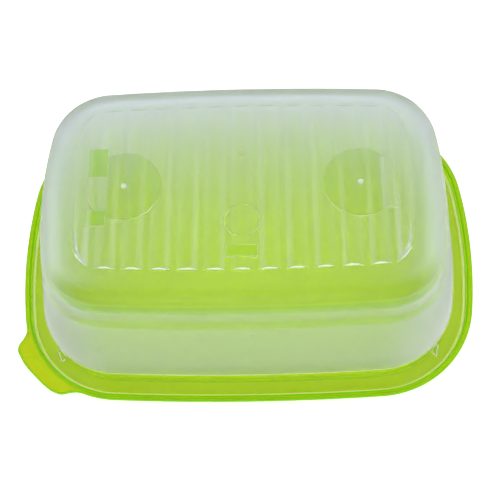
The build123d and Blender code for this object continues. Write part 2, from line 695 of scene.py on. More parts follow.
@dataclass(frozen=True)
class Relief:
    """A plain flat plate. Patterned plates build on it.

    Args:
        level: Height of the plate.
    """

    level: float

    def lines(self) -> list[Line]:
        """Feature lines that the plate's mesh follows."""
        return []

    def heights(self, x: np.ndarray, y: np.ndarray) -> np.ndarray:
        """Height of the plate at each place."""
        return np.full(len(x), self.level)


@dataclass(frozen=True)
class RibbedPlate(Relief):
    """The base plate: a row of low rounded ribs with sloped ends, and flat islands.

    Args:
        plan: The box's outline.
        field_growth: Growth of the outline at which the ribs end.
        count: Number of ribs.
        pitch: Distance from rib to rib.
        chord: Width of a rib at its foot.
        height: Height of a rib.
        root: Softness of the ribs' roots.
        island_rise: Height of the islands.
        edge_run: Half the width of the islands' sloped edges.
        islands: Flat places that stand a little higher than the ribs.
        dimples: Round hollows.
        dimple_depth: Depth of the hollows.
        dimple_rings: Insets of the rings that draw a hollow, as shares of its radius.
        strips: Strips that the mesh has across a rib.
        least_end: Height from which a rib's sloped end is drawn.
        edge_gap: Distance from the field's edge within which no strip is drawn.
    """

    plan: Plan = field(default_factory=Plan)
    field_growth: float = -13.96
    count: int = 13
    pitch: float = 10.3
    chord: float = 8.2
    height: float = 0.8
    root: float = 0.03
    island_rise: float = 0.9
    edge_run: float = 0.07
    islands: tuple[Disc | Window, ...] = ()
    dimples: tuple[Disc, ...] = ()
    dimple_depth: float = 0.25
    dimple_rings: tuple[float, ...] = (-0.1, 0.0, 0.35, 0.7)
    strips: int = 14
    least_end: float = 0.05
    edge_gap: float = 0.05

    def rib(self, x: np.ndarray) -> np.ndarray:
        """Section of the ribs: arcs whose roots are rounded.

        Args:
            x: Positions along the long side.

        Returns:
            The height above the valleys at each position.
        """
        radius = (self.chord**2 / 4 + self.height**2) / (2 * self.height)
        nearest = np.clip(np.round(np.asarray(x) / self.pitch), -(self.count // 2), self.count // 2)
        off = np.minimum(np.abs(x - nearest * self.pitch), self.pitch / 2)
        rise = self.height - radius + np.sqrt(radius**2 - off**2)
        return (rise + np.sqrt(rise**2 + self.root**2)) / 2

    def rib_lines(self, middle: float) -> list[Line]:
        """Lines along one rib and round its two ends.

        Args:
            middle: The rib's place along the long side.

        Returns:
            Straight lines along the rib, then the creases and feet of its sloped ends.
        """
        places = middle + np.linspace(-0.5, 0.5, self.strips + 1) * self.pitch
        found, creases, feet = [], [], []
        for x, rise in zip(places.tolist(), self.rib(places).tolist()):
            if float(self.plan.growth_at(x, 0.0)) > self.field_growth - rise - self.edge_gap:
                continue
            crease = self.plan.reach_y(x, self.field_growth - rise)
            found.append([(x, -crease), (x, crease)])
            if rise > self.least_end:
                creases.append((x, crease))
                feet.append((x, self.plan.reach_y(x, self.field_growth)))
        for hand in (1, -1):
            found += [[(x, hand * y) for x, y in line] for line in (creases, feet)]
        return found

    def lines(self) -> list[Line]:
        """Feature lines that the plate's mesh follows.

        Returns:
            Lines along the ribs, round their ends, and round the islands and the dimples.
        """
        found = []
        for number in range(self.count):
            found += self.rib_lines((number - self.count // 2) * self.pitch)
        for island in self.islands:
            found += island.rim(self.edge_run) + island.rim(-self.edge_run)
        for dimple in self.dimples:
            for share in self.dimple_rings:
                found += dimple.rim(dimple.radius * share)
        return [line for line in found if len(line) > 1]

    def heights(self, x: np.ndarray, y: np.ndarray) -> np.ndarray:
        """Height of the plate.

        Args:
            x: Positions along the long side.
            y: Positions along the short side.

        Returns:
            The height above the ground at each place.
        """
        inside = np.maximum(self.field_growth - self.plan.growth_at(x, y), 0.0)
        rise = np.minimum(self.rib(x), inside)
        for island in self.islands:
            share = (island.depth(x, y) + self.edge_run) / (2 * self.edge_run)
            rise = np.maximum(rise, self.island_rise * np.clip(share, 0.0, 1.0))
        for dimple in self.dimples:
            share = np.clip(dimple.depth(x, y) / dimple.radius, 0.0, 1.0)
            rise = rise - self.dimple_depth * (1 - (1 - share) ** 2)
        return self.level + rise


def piece_of(mesh: bpy.types.Mesh, work: bmesh.types.BMesh, smooth_angle: float) -> bpy.types.Object:
    """Turns worked faces into an object of the scene.

    Args:
        mesh: The mesh to write, whose name the object takes.
        work: The faces, which are freed.
        smooth_angle: Largest angle between faces that look like one surface.

    Returns:
        The object.
    """
    work.to_mesh(mesh)
    work.free()
    mesh.polygons.foreach_set("use_smooth", [True] * len(mesh.polygons))
    mesh.set_sharp_from_angle(angle=math.radians(smooth_angle))
    made = bpy.data.objects.new(mesh.name, mesh)
    bpy.context.scene.collection.objects.link(made)
    return made


@dataclass
class Moulding:
    """A thin-walled moulding: one section carried round the plan, closed by two plates.

    Args:
        name: The moulding's name.
        plan: The box's outline.
        points: Points made so far.
        faces: Faces made so far.
        skins: The skin of each face.
    """

    name: str
    plan: Plan
    points: list[tuple[float, float, float]] = field(default_factory=list)
    faces: list[tuple[int, ...]] = field(default_factory=list)
    skins: list[int] = field(default_factory=list)

    def carry(self, stations: list[Knee], tab: PullTab | None = None) -> None:
        """Carries a section round the plan.

        Args:
            stations: The section's points, from one plate's edge to the other's.
            tab: The tab that stations with a pull, a follow or a sink share in.
        """
        base, normals, turns = self.plan.samples()
        count = len(base)
        first = len(self.points)
        for station in stations:
            growth = np.full(count, station.growth)
            level = np.full(count, station.level)
            if tab is not None:
                growth = growth + station.pull * tab.reach(turns) + station.follow * tab.grip_shift(turns)
                level = level - station.sink * tab.grip_sink(turns)
            ring = base + normals * growth[:, None]
            self.points += [(x, y, z) for (x, y), z in zip(ring.tolist(), level.tolist())]
        for row, station in enumerate(stations[:-1]):
            low, high = first + row * count, first + (row + 1) * count
            for i in range(count):
                j = (i + 1) % count
                self.faces.append((low + i, low + j, high + j, high + i))
                self.skins.append(station.skin.value)

    def plate(self, growth: float, relief: Relief, skin: Side) -> None:
        """Closes the moulding with a plate inside one outline.

        Args:
            growth: Growth of the plate's edge.
            relief: Heights and feature lines of the plate.
            skin: The skin that the plate belongs to.
        """
        base, normals, _ = self.plan.samples()
        edge = base + normals * growth
        spots = [Vector(p) for p in edge.tolist()]
        count = len(spots)
        lines = [(i, (i + 1) % count) for i in range(count)]
        for line in relief.lines():
            start = len(spots)
            spots += [Vector(p) for p in line]
            lines += [(start + i, start + i + 1) for i in range(len(line) - 1)]
        flat, _, triangles, *_ = delaunay_2d_cdt(spots, lines, [], 0, PLATE_WELD)
        xy = np.array([(p.x, p.y) for p in flat])
        heights = relief.heights(xy[:, 0], xy[:, 1])
        start = len(self.points)
        self.points += [(x, y, z) for (x, y), z in zip(xy.tolist(), heights.tolist())]
        for triangle in triangles:
            self.faces.append(tuple(start + i for i in triangle))
            self.skins.append(skin.value)

    def mesh_object(self, smooth_angle: float) -> bpy.types.Object:
        """Makes the closed mesh, in metres, with its faces turned outward.

        Args:
            smooth_angle: Largest angle between faces that look like one surface.

        Returns:
            The object.
        """
        mesh = bpy.data.meshes.new(self.name)
        mesh.from_pydata([(x * MM, y * MM, z * MM) for x, y, z in self.points], [], self.faces)
        mesh.polygons.foreach_set("material_index", self.skins)
        work = bmesh.new()
        work.from_mesh(mesh)
        bmesh.ops.remove_doubles(work, verts=work.verts, dist=WELD)
        bmesh.ops.dissolve_degenerate(work, edges=work.edges, dist=SLIVER)
        bmesh.ops.recalc_face_normals(work, faces=work.faces)
        open_edges = sum(1 for edge in work.edges if not edge.is_manifold)
        LOG.info("%s: %d faces, %d open edges", self.name, len(work.faces), open_edges)
        return piece_of(mesh, work, smooth_angle)


@dataclass(frozen=True)
class Plastic:
    """A moulded plastic that lets light through.

    Args:
        name: The material's name.
        colour: Colour that light keeps after passing the surface twice.
        shade: The colour's slight variation.
        transmission: Share of light that passes rather than scatters at the surface.
        ior: Index of refraction.
        gloss: Strength of the reflection, of the full amount for the index.
        polish: Roughness of the polished surface.
        haze: Colour of the haze that scatters light at the surface.
        haze_roughness: Roughness of that haze.
        shade_size: Size of the colour's patches.
        polish_size: Size of the polish's patches.
        polish_range: Difference in roughness between them.
        wave_size: Size of the surface's unevenness.
        wave_detail: Finer waves on it, in octaves.
        wave_strength: Strength of the unevenness.
        wave_depth: Depth of the unevenness.
    """

    name: str
    colour: Colour
    shade: Colour
    transmission: float
    ior: float
    gloss: float
    polish: float
    haze: Colour = (0.93, 0.95, 0.96)
    haze_roughness: float = 0.5
    shade_size: float = 22.0
    polish_size: float = 9.0
    polish_range: float = 0.06
    wave_size: float = 14.0
    wave_detail: float = 1.0
    wave_strength: float = 0.15
    wave_depth: float = 0.05

    @shared
    def facing(self, place: Place, axis: Axis) -> Wire:
        """How far the surface faces along one axis, from -1 to 1."""
        normal = place.book.node("ShaderNodeTexCoord", output="Normal")
        return place.book.node("ShaderNodeSeparateXYZ", inputs={0: normal}, output=axis.value)

    def paint(self, place: Place) -> Wire:
        """Colour, a little uneven."""
        return place.book.mixed(place.grain(self.shade_size), self.colour, self.shade)

    def roughness(self, place: Place) -> Wire:
        """Polish, a little uneven."""
        return place.grain(self.polish_size) * self.polish_range + (self.polish - self.polish_range / 2)

    def bump(self, place: Place) -> Wire:
        """Faint waves that a moulded wall has."""
        waves = place.grain(self.wave_size, self.wave_detail)
        return place.book.bump(waves, self.wave_strength, self.wave_depth)

    def absorb(self, place: Place) -> Wire | None:
        """What the plastic takes from light on its way through."""
        return None

    def shine(self, place: Place) -> Wire | None:
        """Light that the plastic gives out itself."""
        return None

    def veil(self, place: Place) -> Wire | None:
        """Share of the surface that scatters light as a haze."""
        return None

    def make(self) -> bpy.types.Material:
        """Builds the material.

        Returns:
            The material, with its nodes.
        """
        material = bpy.data.materials.new(self.name)
        material.use_nodes = True
        book = NodeBook(material.node_tree)
        place = Place.on_object(book)
        inputs = {
            "Base Color": self.paint(place),
            "Roughness": self.roughness(place),
            "IOR": self.ior,
            "Specular Tint": (self.gloss, self.gloss, self.gloss, 1.0),
            "Transmission Weight": self.transmission,
            "Normal": self.bump(place),
        }
        glow = self.shine(place)
        if glow is not None:
            inputs |= {"Emission Color": glow, "Emission Strength": 1.0}
        shader = book.node("ShaderNodeBsdfPrincipled", inputs=inputs)
        share = self.veil(place)
        if share is not None:
            matt = {"Color": (*self.haze, 1.0), "Roughness": self.haze_roughness}
            haze = book.node("ShaderNodeBsdfDiffuse", inputs=matt)
            shader = book.node("ShaderNodeMixShader", inputs={0: share, 1: shader, 2: haze})
        ends = {"Surface": shader}
        volume = self.absorb(place)
        if volume is not None:
            ends["Volume"] = volume
        book.node("ShaderNodeOutputMaterial", inputs=ends)
        return material


@dataclass(frozen=True)
class ClearPlastic(Plastic):
    """Polished clear polypropylene of the tub's inside and rim."""

    name: str = "tub_inside"
    colour: Colour = (0.97, 0.985, 0.967)
    shade: Colour = (0.963, 0.98, 0.96)
    transmission: float = 1.0
    ior: float = 1.49
    gloss: float = 0.35
    polish: float = 0.10


@dataclass(frozen=True)
class EdgePlastic(ClearPlastic):
    """The tub's rounded edges, painted with a thin pale line as a highlight and with a glow.

    Args:
        highlight_share: Share of pale haze on the edge, a painted highlight.
        highlight_size: Size of the patches in which the painted highlight and glow are stronger and weaker.
        highlight_range: Difference between them.
        glow: Painted glow at the edge, standing in for light that runs through the wall.
        faint_share: Share of the glow that is left where it is faintest.
    """

    name: str = "tub_edge_highlight"
    haze: Colour = (0.95, 0.95, 0.55)
    highlight_share: float = 0.4
    highlight_size: float = 12.0
    highlight_range: float = 0.1
    glow: Colour = (0.29, 0.29, 0.07)
    faint_share: float = 0.8

    def veil(self, place: Place) -> Wire:
        """Painted highlight: a share of pale haze on the edge, a little uneven."""
        return place.grain(self.highlight_size) * self.highlight_range + (self.highlight_share - self.highlight_range / 2)

    def shine(self, place: Place) -> Wire:
        """Painted glow at the edge, standing in for light that runs through the wall."""
        faint = tuple(value * self.faint_share for value in self.glow)
        return place.book.mixed(place.grain(self.highlight_size), faint, self.glow)


@dataclass(frozen=True)
class LinePlastic(EdgePlastic):
    """The tub's outermost edges, painted with thin white lines as highlights and with a faint glow."""

    name: str = "tub_line_highlight"
    haze: Colour = (0.93, 0.95, 0.96)
    highlight_share: float = 0.55
    glow: Colour = (0.14, 0.14, 0.12)


@dataclass(frozen=True)
class GussetPlastic(LinePlastic):
    """The gussets' bevelled outlines, painted with a pale highlight and a faint glow."""

    name: str = "tub_gusset_highlight"
    highlight_share: float = 0.5
    glow: Colour = (0.16, 0.16, 0.13)


@dataclass(frozen=True)
class ClearPlace:
    """A place on the base plate that isn't frosted as the rest.

    Args:
        form: Its outline.
        clear: Share of polish.
        colour: Share of the deeper colour that a polished window shows.
        haze: Share of white haze.
    """

    form: Disc | Window
    clear: float
    colour: float = 0.0
    haze: float = 0.0


@dataclass(frozen=True)
class ClearBand:
    """A level strip of the wall that is polished.

    Args:
        low: Height of its lower edge.
        high: Height of its upper edge.
        clear: Share of polish.
        colour: Its colour.
    """

    low: float
    high: float
    clear: float
    colour: Colour

    def mask(self, place: Place, blur: float) -> Wire:
        """1 between its edges."""
        return place.z.above(Limit(self.low, blur)) * (1 - place.z.above(Limit(self.high, blur)))


@dataclass(frozen=True)
class RibHighlightStreaks:
    """Painted highlights: pale streaks along the inner flanks of the ribs.

    Args:
        pitch: Distance from rib to rib.
        place: Distance of a streak from its rib's middle.
        width: Half a streak's width.
        haze: Share of haze on a streak.
        gain: Share of that haze that the outermost streaks have in addition.
        first: Distance from the middle, in pitches, from which ribs have a streak.
        outermost: Distance from the middle, in pitches, from which they have the gain.
        fade: Where the streaks fade towards the back.
        fade_share: Share of a streak that is lost there.
    """

    pitch: float = RibbedPlate.pitch
    place: float = 2.9
    width: float = 1.1
    haze: float = 0.18
    gain: float = 0.8
    first: Limit = Limit(0.5, 0.1)
    outermost: Limit = Limit(5.5, 0.1)
    fade: Limit = Limit(-5.0, 25.0)
    fade_share: float = 0.5

    def veil(self, place: Place) -> Wire:
        """Haze of the streaks.

        Args:
            place: The point on the object.

        Returns:
            The share of haze.
        """
        ribs = abs(place.x) * (1 / self.pitch)
        nearest = ribs.nearest_whole()
        off = abs((ribs - nearest) + self.place / self.pitch)
        width = self.width / self.pitch
        streak = (1 - off.above(Limit(width, width))) * nearest.above(self.first)
        fade = 1 - place.y.above(self.fade) * self.fade_share
        return streak * fade * (1 + nearest.above(self.outermost) * self.gain) * self.haze


@dataclass(frozen=True)
class WallHaze:
    """Shares of pale haze on the frosted wall, painted light that lifts its shaded foot and brightens its
    short sides and its upward faces over the back half.

    Args:
        foot: Share at the wall's foot.
        foot_top: Height at which that haze ends.
        side: Share on the short sides.
        side_foot: Share added at their foot.
        back: Share on the faces that look up, over the back half.
    """

    foot: float = 0.13
    foot_top: float = 40.0
    side: float = 0.18
    side_foot: float = 0.28
    back: float = 0.11


@dataclass(frozen=True)
class SteepEdges:
    """Steep ends of the ribs and steep edges of the islands.

    Args:
        upward: How far up a face turns where it stops being steep.
        reach: Distance from the long middle line from which a steep face is a rib's end.
        lean: How much less that distance is for each millimetre along the long side.
        hazy: Height from which the ribs' ends carry a painted highlight.
        haze: Share of pale haze there, which paints the highlight.
        polish: Roughness of the ribs' ends.
        island_edge_shade: Painted shade: the darker colour of the islands' edges.
    """

    upward: Limit = Limit(0.85, 0.03)
    reach: Limit = Limit(34.8, 0.1)
    lean: float = 0.11
    hazy: Limit = Limit(68.93, 0.06)
    haze: float = 0.8
    polish: float = 0.18
    island_edge_shade: Colour = (0.68, 0.80, 0.38)


@dataclass(frozen=True, kw_only=True)
class FrostedPlastic(ClearPlastic):
    """The tub's outside: blasted to a frost, with the clear places that the mould leaves, and with painted
    highlights, painted light and painted shade.

    Args:
        foot_level: Height up to which the rim band is polished.
        foot_margin: Height above it at which the frost starts.
        band_margin: Height above it at which the wall's colour starts.
        plate_frost: Roughness of the frost on the base plate.
        wall_frost: Roughness of the frost on the wall.
        plate_start: Height at which the one becomes the other.
        frost_size: Size of the frost's patches.
        frost_range: Difference in roughness between them.
        frost_colour: Colour of the frost.
        front_painted_shade: Painted shade: a darker, greener colour of the frost where it faces the front.
        back_painted_light: Painted light: a paler, bluer colour of the frost over the back half.
        back_start: Where the back half starts.
        edge_blur: Softness of the edges of bands and clear places.
        fine_blur: Softness of the rim band's and the gate marks' edges.
        upper_band: Polished strip under the round of the base.
        lower_band: Polished strip below that one.
        band_blur: Softness of the change of colour between the two.
        band_polish: Roughness of the polish on the wall.
        side_band_shade: Painted shade: a deeper green of the bands on the short sides.
        side_facing: How far a wall faces sideways where that colour starts.
        front_band: Softly clearer strip along the front round, painted a darker green as shade.
        front_band_blur: Softness of its upper and lower edges.
        front_facing: How far a wall faces the front where that strip starts.
        frost_haze: Share of haze on all the frost.
        wall_haze: Shares of pale haze added on the wall, painted light.
        streaks: Painted highlights: pale streaks on the ribs.
        steep_edges: Steep ends of the ribs and steep edges of the islands, with a painted highlight on the
            front ends and painted shade on the islands' edges.
        plate_marks: Height from which the base plate's own marks count.
        places: Clear places of the base plate.
        window_colour: Deeper colour that polished windows show.
        outline_haze: Share of haze on the windows' outlines.
        outline_inset: Distance of the outlines inside the windows' edges.
        outline_side: Distance of an outline's sides from its middle.
        gates: Marks where the plastic was let into the mould.
        gate_haze: Share of haze on them.
    """

    name: str = "tub_outside"
    foot_level: float
    foot_margin: float = 0.1
    band_margin: float = 0.3
    plate_frost: float = 0.76
    wall_frost: float = 0.55
    plate_start: Limit = Limit(65.0, 3.0)
    frost_size: float = 6.0
    frost_range: float = 0.05
    wave_size: float = 0.35
    wave_detail: float = 2.0
    wave_strength: float = 0.2
    wave_depth: float = 0.03
    frost_colour: Colour = (0.77, 0.84, 0.89)
    front_painted_shade: Colour = (0.60, 0.69, 0.55)
    back_painted_light: Colour = (0.765, 0.80, 1.0)
    back_start: Limit = Limit(24.0, 9.0)
    edge_blur: float = 0.12
    fine_blur: float = 0.1
    upper_band: ClearBand = ClearBand(58.8, 62.2, 0.8, (0.45, 0.60, 0.74))
    lower_band: ClearBand = ClearBand(48.2, 53.0, 0.85, (0.52, 0.66, 0.48))
    band_blur: float = 1.0
    band_polish: float = 0.35
    side_band_shade: Colour = (0.53, 0.70, 0.32)
    side_facing: Limit = Limit(0.45, 0.4)
    front_band: ClearBand = ClearBand(62.9, 67.0, 0.7, (0.44, 0.54, 0.30))
    front_band_blur: float = 0.8
    front_facing: Limit = Limit(0.35, 0.3)
    frost_haze: float = 0.01
    wall_haze: WallHaze = WallHaze()
    streaks: RibHighlightStreaks = RibHighlightStreaks()
    steep_edges: SteepEdges = SteepEdges()
    plate_marks: Limit = Limit(68.7, 0.05)
    places: tuple[ClearPlace, ...]
    window_colour: Colour = (0.52, 0.86, 0.10)
    outline_haze: float = 0.2
    outline_inset: float = 0.25
    outline_side: Limit = Limit(0.16, 0.08)
    gates: tuple[Disc, ...]
    gate_haze: float = 0.75

    @shared
    def clear_share(self, place: Place) -> Wire:
        """Polish of the rim band, of the wall's bands and of the base plate's clear places.

        Args:
            place: The point on the object.

        Returns:
            1 where the surface is polished and 0 on the full frost.
        """
        clear = 1 - place.z.above(Limit(self.foot_level + self.foot_margin, self.edge_blur))
        for band in (self.upper_band, self.lower_band):
            clear = clear + band.mask(place, self.edge_blur) * band.clear
        clear = clear + self.front_strip(place) * self.front_band.clear
        for part in self.places:
            inside = self.within(place, part.form)
            clear = clear * (1 - inside) + inside * part.clear
        return clear

    @shared
    def above_foot(self, place: Place) -> Wire:
        """1 above the rim band."""
        return place.z.above(Limit(self.foot_level + self.band_margin, self.fine_blur))

    @shared
    def front_strip(self, place: Place) -> Wire:
        """1 along the front round, with soft edges."""
        strip = self.front_band.mask(place, self.front_band_blur)
        return strip * (-self.facing(place, Axis.Y)).above(self.front_facing)

    @shared
    def towards_back(self, place: Place) -> Wire:
        """Rises from 0 to 1 over the back half."""
        return place.y.above(self.back_start)

    @shared
    def on_ribs(self, place: Place) -> Wire:
        """1 on the ribs and islands of the base plate."""
        return place.z.above(self.plate_marks)

    @shared
    def within(self, place: Place, form: Disc | Window) -> Wire:
        """1 on one clear place of the base plate."""
        return form.mask(place, self.edge_blur) * self.on_ribs(place)

    @shared
    def steep(self, place: Place) -> Wire:
        """Steep ends of the ribs and edges of the islands, but for the ends at the back.

        Args:
            place: The point on the object.

        Returns:
            1 on them.
        """
        edges = self.steep_edges
        steep = 1 - self.facing(place, Axis.Z).above(edges.upward)
        behind = (place.y + abs(place.x) * edges.lean).above(edges.reach)
        return steep * self.on_ribs(place) * (1 - behind)

    @shared
    def rib_end(self, place: Place) -> Wire:
        """1 along the plate's front and back edge, where the ribs end."""
        edges = self.steep_edges
        return (abs(place.y) + abs(place.x) * edges.lean).above(edges.reach)

    def plate_veil(self, place: Place) -> Wire:
        """Haze on the base plate: frost, painted highlights along the ribs, windows, their outlines and the
        gate marks.

        Args:
            place: The point on the object.

        Returns:
            The share of haze.
        """
        # Painted highlights: pale haze along the ribs' inner flanks.
        haze = self.streaks.veil(place) * self.on_ribs(place)
        haze = haze + (1 - self.clear_share(place)) * self.frost_haze
        for part in self.places:
            if part.haze:
                haze = haze.most(self.within(place, part.form) * part.haze)
            if isinstance(part.form, Window):
                line = part.form.outline(place, self.outline_inset, self.outline_side)
                haze = haze.most(line * self.on_ribs(place) * self.outline_haze)
        for gate in self.gates:
            haze = haze.most(gate.mask(place, self.fine_blur) * self.on_ribs(place) * self.gate_haze)
        return haze

    def wall_veil(self, place: Place) -> Wire:
        """Painted light on the frosted wall: a pale haze, more at its foot, on the short sides and over the
        back half.

        Args:
            place: The point on the object.

        Returns:
            The share of haze.
        """
        share = self.wall_haze
        frosted = 1 - self.clear_share(place)
        foot = (1 - place.z.rise(self.foot_level, share.foot_top)) * frosted
        side = abs(self.facing(place, Axis.X)) * frosted
        back = self.facing(place, Axis.Z).most(0.0) * frosted * self.towards_back(place)
        return foot * share.foot + side * (foot * share.side_foot + share.side) + back * share.back

    def veil(self, place: Place) -> Wire:
        """Haze on the base plate, a painted highlight on the ribs' front ends, and painted light on the wall.

        Args:
            place: The point on the object.

        Returns:
            The share of haze.
        """
        # Painted highlight: pale haze on the steep front ends of the ribs.
        ends = self.steep(place) * self.rib_end(place) * place.z.above(self.steep_edges.hazy)
        haze = self.plate_veil(place).most(ends * self.steep_edges.haze)
        return haze.most(self.wall_veil(place))

    def band_paint(self, place: Place) -> Wire:
        """Colour of the polished bands, with painted shade that differs on the short sides and on the front
        round.

        Args:
            place: The point on the object.

        Returns:
            The colour.
        """
        book = place.book
        between = (self.upper_band.low + self.lower_band.high) / 2
        upper = place.z.above(Limit(between, self.band_blur))
        colour = book.mixed(upper, self.lower_band.colour, self.upper_band.colour)
        # Painted shade: the bands' colour changes where they face sideways and where they face the front.
        sideways = abs(self.facing(place, Axis.X)).above(self.side_facing)
        colour = book.mixed(sideways, colour, self.side_band_shade)
        return book.mixed(self.front_strip(place), colour, self.front_band.colour)

    def frost_paint(self, place: Place) -> Wire:
        """Colour of the frost, with painted light over the back half and painted shade where it faces the
        front.
        """
        # Painted light over the back half, and painted shade where the frost faces the front.
        colour = place.book.mixed(self.towards_back(place), self.frost_colour, self.back_painted_light)
        return place.book.mixed((-self.facing(place, Axis.Y)).most(0.0), colour, self.front_painted_shade)

    def paint(self, place: Place) -> Wire:
        """Colour of the rim band, the bands, the frost, the windows and the islands' edges, whose darker
        colour is painted shade.

        Args:
            place: The point on the object.

        Returns:
            The colour.
        """
        book = place.book
        polished = book.mixed(self.above_foot(place), super().paint(place), self.band_paint(place))
        whole = book.mixed(self.clear_share(place), self.frost_paint(place), polished)
        for part in self.places:
            if part.colour:
                share = self.within(place, part.form) * part.colour
                whole = book.mixed(share, whole, self.window_colour)
        # Painted shade: the islands' steep edges are coloured darker.
        islands = self.steep(place) * (1 - self.rib_end(place))
        return book.mixed(islands, whole, self.steep_edges.island_edge_shade)

    def roughness(self, place: Place) -> Wire:
        """Frost, less where the mould is polished.

        Args:
            place: The point on the object.

        Returns:
            The roughness.
        """
        on_plate = place.z.above(self.plate_start)
        frost = on_plate * (self.plate_frost - self.wall_frost) + self.wall_frost
        frosted = place.grain(self.frost_size) * self.frost_range + frost
        polished = self.above_foot(place) * (self.band_polish - self.polish) + self.polish
        clear = self.clear_share(place)
        level = frosted * (1 - clear) + clear * polished
        end = self.steep(place) * self.rib_end(place)
        return level * (1 - end) + end * self.steep_edges.polish

    def bump(self, place: Place) -> Wire:
        """The frost's fine grain."""
        grain = place.grain(self.wave_size, self.wave_detail) * (1 - self.clear_share(place))
        return place.book.bump(grain, self.wave_strength, self.wave_depth)


@dataclass(frozen=True)
class LimePlastic(Plastic):
    """Glossy lime plastic of the lid, greener where light has come a long way through it: the dye's
    absorption does that inside, and on upright faces a painted green, a green haze and a glow stand in for
    it; the brim is painted darker as shade.

    Args:
        brim: Painted shade: the darker colour of the brim and the tab, for their shadow on the floor seen
            through them.
        brim_start: Height from which the brim's painted shade holds.
        edge: Painted greener colour of upright faces, for light piped through the plastic.
        edge_share: Share of upright faces painted with a green haze.
        upward: How far up or down a face turns where it stops being upright.
        glow: Painted glow that upright faces give out, for light piped through the dye.
        absorbed: Colour that the dye leaves on the way through.
        density: The dye's density, per metre.
    """

    name: str = "lid_lime"
    colour: Colour = (0.83, 0.985, 0.008)
    shade: Colour = (0.80, 0.98, 0.006)
    transmission: float = 0.65
    ior: float = 1.45
    gloss: float = 0.35
    polish: float = 0.2
    haze: Colour = (0.55, 0.86, 0.01)
    brim: Colour = (0.61, 0.71, 0.006)
    brim_start: Limit = Limit(5.25, 0.1)
    edge: Colour = (0.30, 0.80, 0.002)
    edge_share: float = 0.65
    upward: Limit = Limit(0.45, 0.4)
    glow: Colour = (0.27, 0.33, 0.006)
    absorbed: Colour = (0.93, 1.0, 0.0)
    density: float = 300.0

    @shared
    def upright(self, place: Place) -> Wire:
        """1 on upright faces."""
        return 1 - abs(self.facing(place, Axis.Z)).above(self.upward)

    def paint(self, place: Place) -> Wire:
        """Lime on the flats, painted darker on the brim as shade, and painted greener on upright faces.

        Args:
            place: The point on the object.

        Returns:
            The colour.
        """
        # Painted shade: the brim and the tab are coloured darker.
        on_brim = place.z.above(self.brim_start)
        flat = place.book.mixed(on_brim, super().paint(place), self.brim)
        # Painted green on upright faces, for light piped through the plastic.
        return place.book.mixed(self.upright(place), flat, self.edge)

    def veil(self, place: Place) -> Wire:
        """Share of upright faces painted with a green haze."""
        return self.upright(place) * self.edge_share

    def shine(self, place: Place) -> Wire:
        """Painted glow on upright faces, standing in for light piped through the dye."""
        return place.book.mixed(self.upright(place), (0.0, 0.0, 0.0), self.glow)

    def absorb(self, place: Place) -> Wire:
        """The dye takes blue first and then red."""
        inputs = {"Color": (*self.absorbed, 1.0), "Density": self.density}
        return place.book.node("ShaderNodeVolumeAbsorption", inputs=inputs)


@dataclass(frozen=True)
class LimeEdge(LimePlastic):
    """The lime plastic's outer edges, painted a deeper green with a faint glow, standing in for light piped
    along them.

    Args:
        patch_size: Size of the patches in which the painted green is stronger and weaker.
        patch_range: Difference between them.
    """

    name: str = "lid_edge_glow"
    haze: Colour = (0.26, 0.62, 0.004)
    glow: Colour = (0.03, 0.10, 0.0)
    patch_size: float = 12.0
    patch_range: float = 0.1

    @shared
    def upright(self, place: Place) -> Wire:
        """Close to 1 over the whole edge."""
        return place.grain(self.patch_size) * self.patch_range + (1 - self.patch_range)


